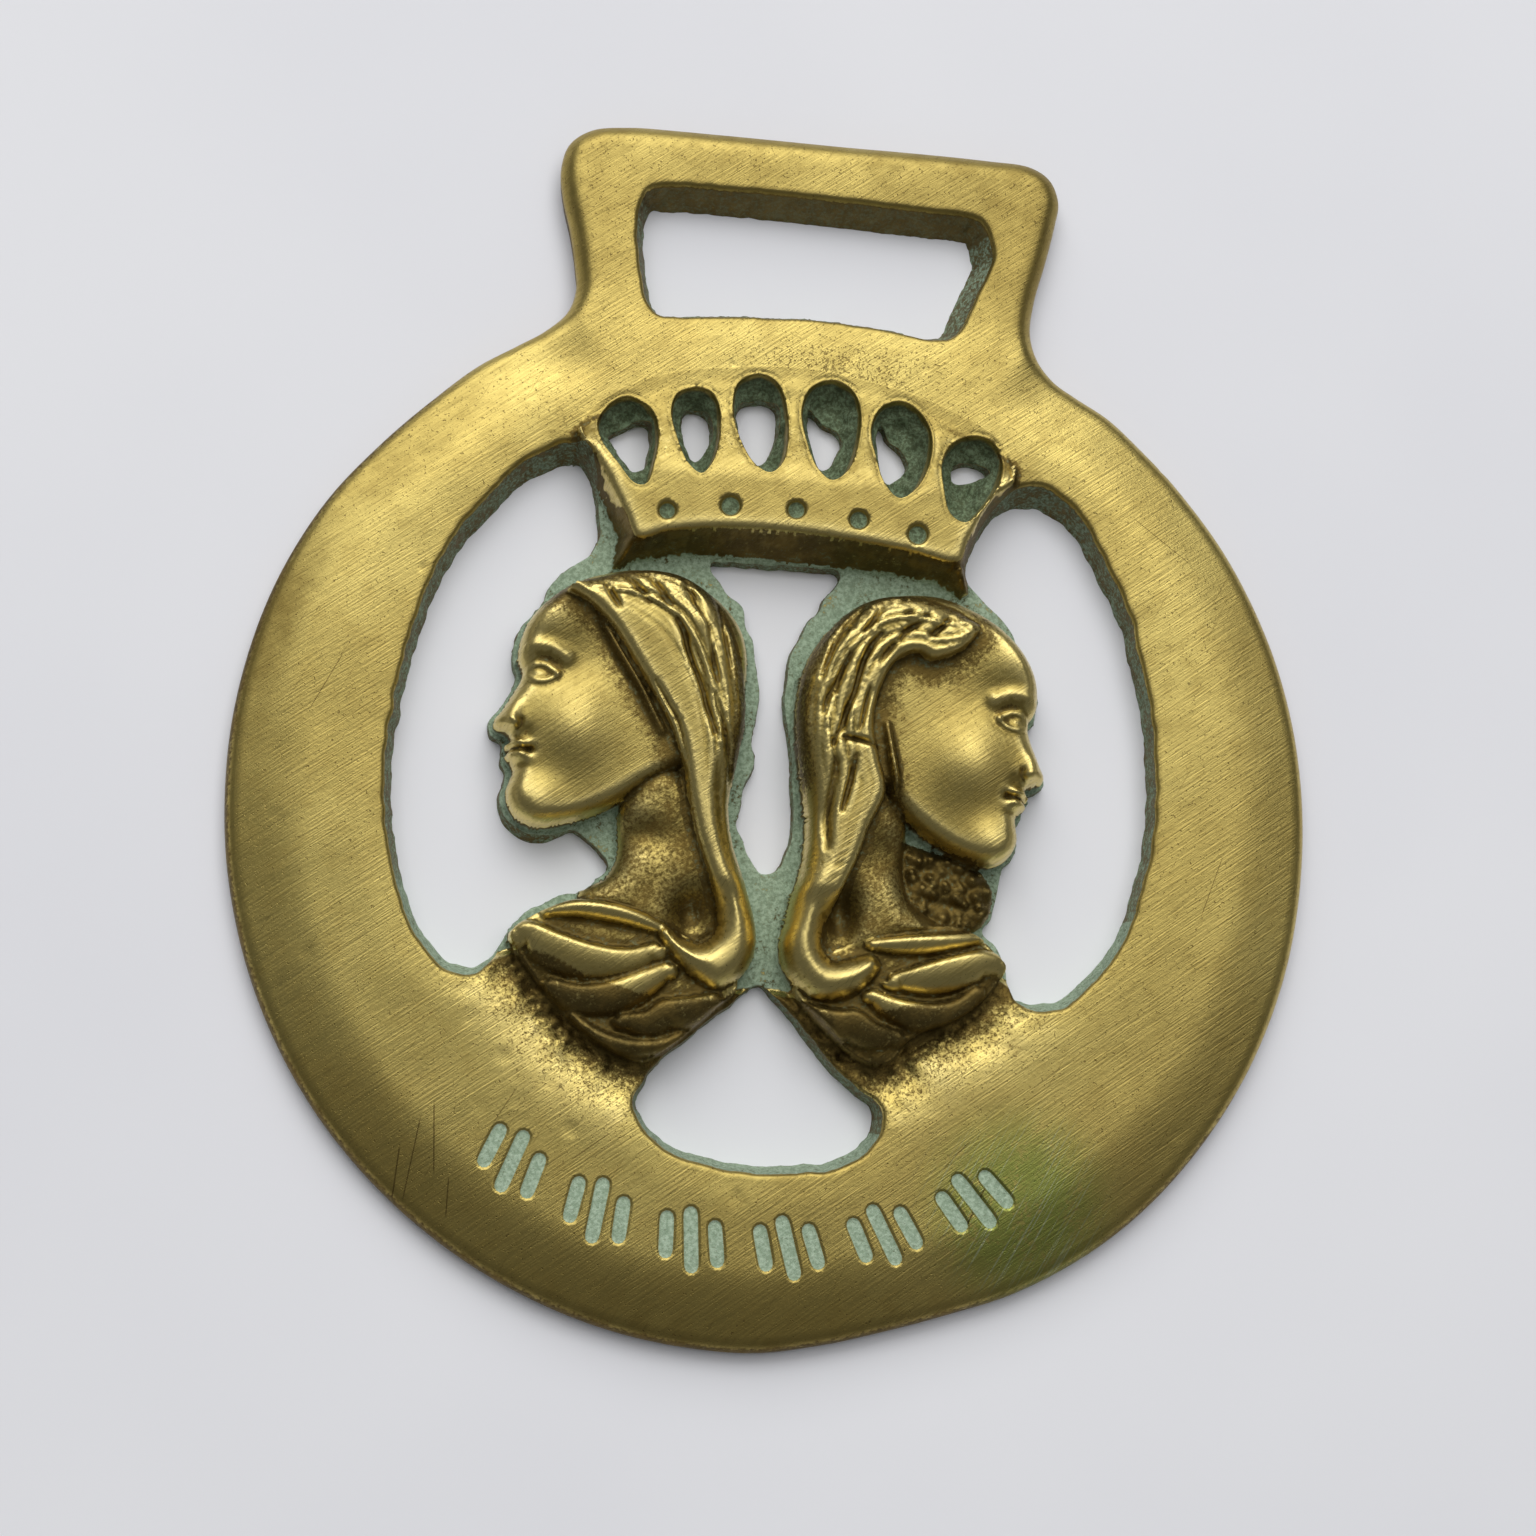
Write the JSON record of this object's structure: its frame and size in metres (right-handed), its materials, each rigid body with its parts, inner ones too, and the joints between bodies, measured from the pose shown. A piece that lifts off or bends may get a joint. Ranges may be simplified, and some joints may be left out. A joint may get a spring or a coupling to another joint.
{
  "type": "horse brass",
  "caption": "Flat cast brass disc with a slotted strap hanger on top and pierced windows round two relief busts set back to back under a crown; lies flat or hangs on a strap.",
  "frame": {"origin": "middle of the flat back's bounding rectangle, on the plane it lies on", "axes": "+Z out of the front, up when it lies on its back; +Y towards the strap hanger; +X to the right, seen from the front with the hanger up"},
  "size_m": [0.077, 0.0874, 0.0065],
  "materials": {
    "brass": "worn polished brass with brown tarnish and green corrosion in the recesses"
  },
  "bodies": {
    "root": {"horse_brass": "brass"}
  },
  "joints": []
}
